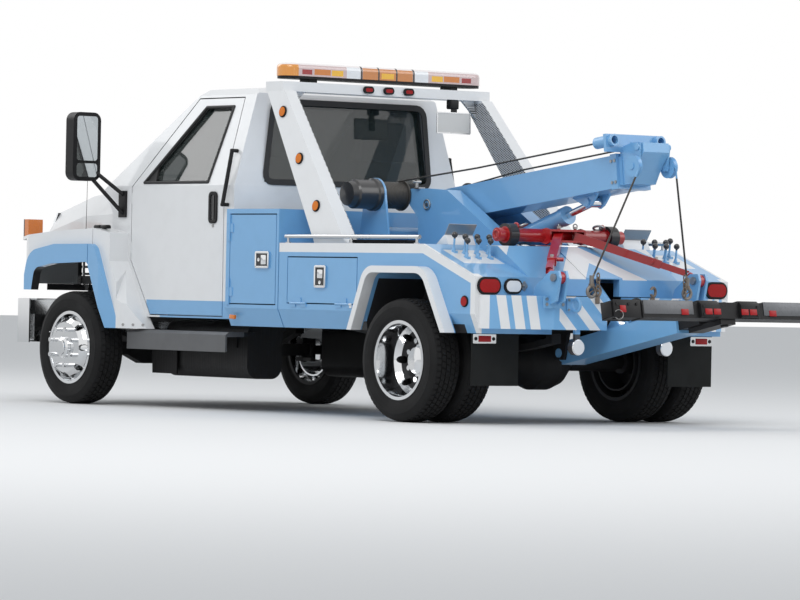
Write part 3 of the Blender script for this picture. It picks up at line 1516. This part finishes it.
@dataclass
class ControlLevers:
    """Two staggered rows of levers with ball knobs, in place of the CAD's plain ones."""

    spots: Outline = (
        (-1.700, 0.933), (-1.730, 0.868), (-1.730, 0.768), (-1.730, 0.668),
        (-1.800, 0.905), (-1.800, 0.812), (-1.800, 0.712),
    )

    def build(self) -> None:
        """Builds both sets: a folded base, gaiters, stems and knobs."""
        parts = []
        for side in Side:
            for x, out in self.spots:
                y, z = side * out, 1.170 + (x + 1.575) * 0.3736
                foot = (x, y, z - 0.002)
                parts += [
                    Bench.cube((x - 0.030, y - 0.013, z - 0.012), (x + 0.030, y + 0.013, z + 0.006)),
                    Bench.rod(foot, (x - 0.002, y, z + 0.030), 0.017, 16, tip=0.008),
                    Bench.rod(foot, (x - 0.010, y, z + 0.098), 0.0068, 12),
                    Bench.ball((x - 0.010, y, z + 0.110), 0.0205, 16),
                ]
        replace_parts(Bench.fit("control_levers_cut", parts, LEVER_PAINT, angle=50.0), "control_levers")


@dataclass
class DeckFittings:
    """Control consoles, ribbed mats under the rails and the bright pan under the tow bar."""

    base: Outline = ((-1.440, DECK_Z), (-1.574, DECK_Z), (-1.541, 1.234), (-1.525, 1.234))
    lid: Outline = ((-1.531, 1.2345), (-1.536, 1.2345), (-1.580, 1.304), (-1.575, 1.307))

    def build(self) -> None:
        """Adds what stands on the deck."""
        for side in Side:
            place = section(max(side * 0.645, side * 0.876))
            base = Bench.plate(self.base, place, 0.231, edge=0.003)
            Bench.fit(f"console_base_{side.word}", base, PLAIN_WHITE)
            Bench.fit(f"console_lid_{side.word}", Bench.plate(self.lid, place, 0.231), STEEL)
            mat = Bench.cube((-1.330, side * 0.952, DECK_Z), (-0.720, side * 1.046, 1.196), 0.004)
            Bench.fit(f"deck_mat_{side.word}", mat, RIBBED)
        Bench.fit("roller_pan", Bench.cube((-1.775, -0.300, DECK_Z), (-1.575, 0.300, 1.1812), 0.003), CHROME)


@dataclass
class PylonFittings:
    """The blank number plate with its lamp, and the bolts at the legs' feet."""

    def build(self) -> None:
        """Adds the pylon's small parts."""
        place = upright((0.2520, -0.595, 2.052), (-1.0, 0.0, 0.02))
        outline = oblong(0.1525, 0.076)
        Bench.fit("blank_sheet", Bench.plate(outline, place, 0.002, 0.010), WHITE_SIGN)
        Bench.fit("blank_rim", Bench.plate(outline, place, 0.0045, 0.010, border=0.008), STAINLESS)
        pod = Bench.cube((0.2455, -0.640, 2.150), (0.300, -0.562, 2.2175))
        Bench.soften(pod, 0.010, 3)
        stem = Bench.rod((0.262, -0.600, 2.120), (0.262, -0.600, 2.165), 0.008, 12)
        strap = Bench.cube((0.2522, -0.625, 2.040), (0.2600, -0.575, 2.150))
        Bench.fit("plate_lamp", [pod, stem, strap], PLASTIC)
        spots = [(x, side * 0.905, DECK_Z) for side in Side for x in (-0.640, -0.360)]
        Bench.fit("leg_bolts", [Bench.stud(spot, (0.0, 0.0, 0.0138), 0.013) for spot in spots], STEEL)


@dataclass
class BodySmall:
    """Skirt screws and the cabinet's amber markers."""

    marker: Outline = ((-0.034, -0.014), (0.030, -0.018), (0.034, 0.010), (-0.028, 0.016))
    screws: Outline = ((1.803, 1.1316), (1.741, 1.0882), (1.680, 1.0455))

    def build(self) -> None:
        """Adds the small parts low on the sides."""
        screws = []
        for side in Side:
            for x, y in self.screws:
                inner = (x + 0.573 * 0.006, side * (y - 0.819 * 0.006), 0.580)
                screws.append(Bench.stud(inner, (-0.573 * 0.010, side * 0.819 * 0.010, 0.0), 0.010, 14))
            place = upright((0.520, side * 1.0902, 0.659), (0.0, side, 0.0))
            lamp = Bench.plate(self.marker, place, 0.018, 0.006, edge=0.004)
            Bench.fit(f"cabinet_marker_{side.word}", lamp, AMBER_LENS)
        Bench.fit("skirt_screws", screws, STEEL)


@dataclass
class SeatPads:
    """Stuffed pads round the seats' backs, cushions and headrests."""

    x: float = 0.878

    def build(self) -> None:
        """Adds three pads to each seat, by their outline from the seat's back, half width and swell."""
        shapes = {
            "cushion": (((0.02, 1.10), (0.575, 1.12), (0.585, 1.185), (0.17, 1.185), (0.02, 1.205)), 0.268, 0.012),
            "back": (((-0.008, 1.195), (0.162, 1.175), (0.046, 1.785), (-0.100, 1.776)), 0.266, 0.010),
            "headrest": (((-0.092, 1.775), (0.046, 1.785), (0.018, 2.052), (-0.098, 2.052)), 0.156, 0.010),
        }
        for side in Side:
            for name, (corners, half, swell) in shapes.items():
                outline = [(self.x + x, z) for x, z in corners]
                pad = Bench.pad(outline, (side * 0.44 - half, side * 0.44 + half), swell)
                pad = Bench.fit(f"seat_{name}_{side.word}", pad, SEAT_CLOTH, angle=60.0)


TYRES = [
    RoadTyre(f"tyre_{word}_{side.word}", f"{word}_wheel_{side.word}", centres, side, x, lugs=lugs, edge_share=share)
    for word, centres, x, lugs, share in (
        ("front", (1.076,), FRONT_AXLE_X, 52, 0.88), ("rear", (1.072, 0.792), REAR_AXLE_X, 60, 0.74),
    )
    for side in Side
]
PARTS: tuple[Any, ...] = (
    *TYRES, WheelFittings(), WindowSeals(), CabTrim(), WinchRopes(), LineFittings(), CrossbarGear(),
    TowBarFittings(), BoomFittings(), DoorLatches(), LampRims(), TailFittings(), ControlLevers(), DeckFittings(),
    PylonFittings(), BodySmall(), SeatPads(),
)


# Studio


@dataclass
class Studio:
    """The camera of the photograph, a pale floor and soft light."""

    camera_at: Point = (-25.432, 19.809, 0.854)
    yaw: float = -37.850
    pitch: float = -0.103
    roll: float = 1.177
    lens: float = 208.87

    def build(self) -> None:
        """Sets up the camera, floor, lamps and world."""
        self._camera()
        self._floor()
        self._lamps()
        self._world()
        bpy.context.scene.view_settings.view_transform = "Standard"

    def _camera(self) -> None:
        """Places the camera."""
        yaw, pitch, roll = (math.radians(angle) for angle in (self.yaw, self.pitch, self.roll))
        ahead = Vector((math.cos(pitch) * math.cos(yaw), math.cos(pitch) * math.sin(yaw), math.sin(pitch)))
        right = ahead.cross(Vector((0, 0, 1))).normalized()
        up = right.cross(ahead)
        level_right = math.cos(roll) * right + math.sin(roll) * up
        level_up = math.cos(roll) * up - math.sin(roll) * right
        data = bpy.data.cameras.new("photo_camera")
        data.lens = self.lens
        data.sensor_width = 36.0
        data.sensor_fit = "HORIZONTAL"
        data.clip_end = 200.0
        camera = bpy.data.objects.new("photo_camera", data)
        turn = Matrix((level_right, level_up, -ahead)).transposed().to_4x4()
        camera.matrix_world = Matrix.Translation(self.camera_at) @ turn
        bpy.context.scene.collection.objects.link(camera)
        bpy.context.scene.camera = camera

    def _floor(self) -> None:
        """A wide pale floor."""
        Bench.clear()
        bpy.ops.mesh.primitive_plane_add(size=160.0, location=(0, 0, 0))
        floor = Bench.take("floor")
        recipe = Recipe("floor_pale")
        recipe.set(Base_Color=(0.80, 0.80, 0.80), Roughness=0.9, Specular_IOR_Level=0.1)
        floor.data.materials.append(recipe.material)

    def _lamps(self) -> None:
        """A broad key from above and behind the camera, and two soft fills."""
        for name, at, size, power in (
            ("key", (-8.0, 9.0, 12.0), 9.0, 900.0), ("fill", (-9.0, -8.0, 7.0), 8.0, 300.0),
            ("front", (11.0, 4.0, 8.0), 8.0, 300.0),
        ):
            data = bpy.data.lights.new(name, "AREA")
            data.shape = "DISK"
            data.size = size
            data.energy = power
            lamp = bpy.data.objects.new(name, data)
            lamp.matrix_world = facing(at, at)
            bpy.context.scene.collection.objects.link(lamp)

    def _world(self) -> None:
        """Even sky light, seen as plain white."""
        world = bpy.data.worlds.new("studio_sky")
        world.use_nodes = True
        bpy.context.scene.world = world
        tree = world.node_tree
        tree.nodes.clear()
        kinds = ("LightPath", "MixShader", "Math", "Math", "Background", "Background", "OutputWorld")
        rays, mix, seen, both, sky, white, out = (tree.nodes.new(f"ShaderNode{kind}") for kind in kinds)
        seen.operation = both.operation = "MAXIMUM"
        for node, colour, strength in ((sky, (0.92, 0.96, 1.0, 1.0), 0.62), (white, (1.0, 1.0, 1.0, 1.0), 1.0)):
            node.inputs[0].default_value = colour
            node.inputs[1].default_value = strength
        for source, target in (
            (rays.outputs["Is Camera Ray"], seen.inputs[0]), (rays.outputs["Is Glossy Ray"], seen.inputs[1]),
            (seen.outputs[0], both.inputs[0]), (rays.outputs["Is Transmission Ray"], both.inputs[1]),
            (both.outputs[0], mix.inputs[0]), (sky.outputs[0], mix.inputs[1]),
            (white.outputs[0], mix.inputs[2]), (mix.outputs[0], out.inputs[0]),
        ):
            tree.links.new(source, target)


# Main


def dress_frame(frame: dict[str, Any]) -> None:
    """Gives each CAD node its finish."""
    for finish, names in NODE_FINISHES:
        for name in names.split():
            node = frame["nodes"][name]
            if not node.material_slots:
                node.data.materials.append(finish.material)
            for slot in node.material_slots:
                slot.material = finish.material
            log.info("%s wears %s", name, finish.name)


def main() -> None:
    """Builds the whole scene."""
    logging.basicConfig(level=logging.INFO, format="%(name)s: %(message)s")
    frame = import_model()
    dress_frame(frame)
    for part in PARTS:
        part.build()
        log.info("built %s", type(part).__name__)
    Studio().build()


if __name__ == "__main__":
    main()
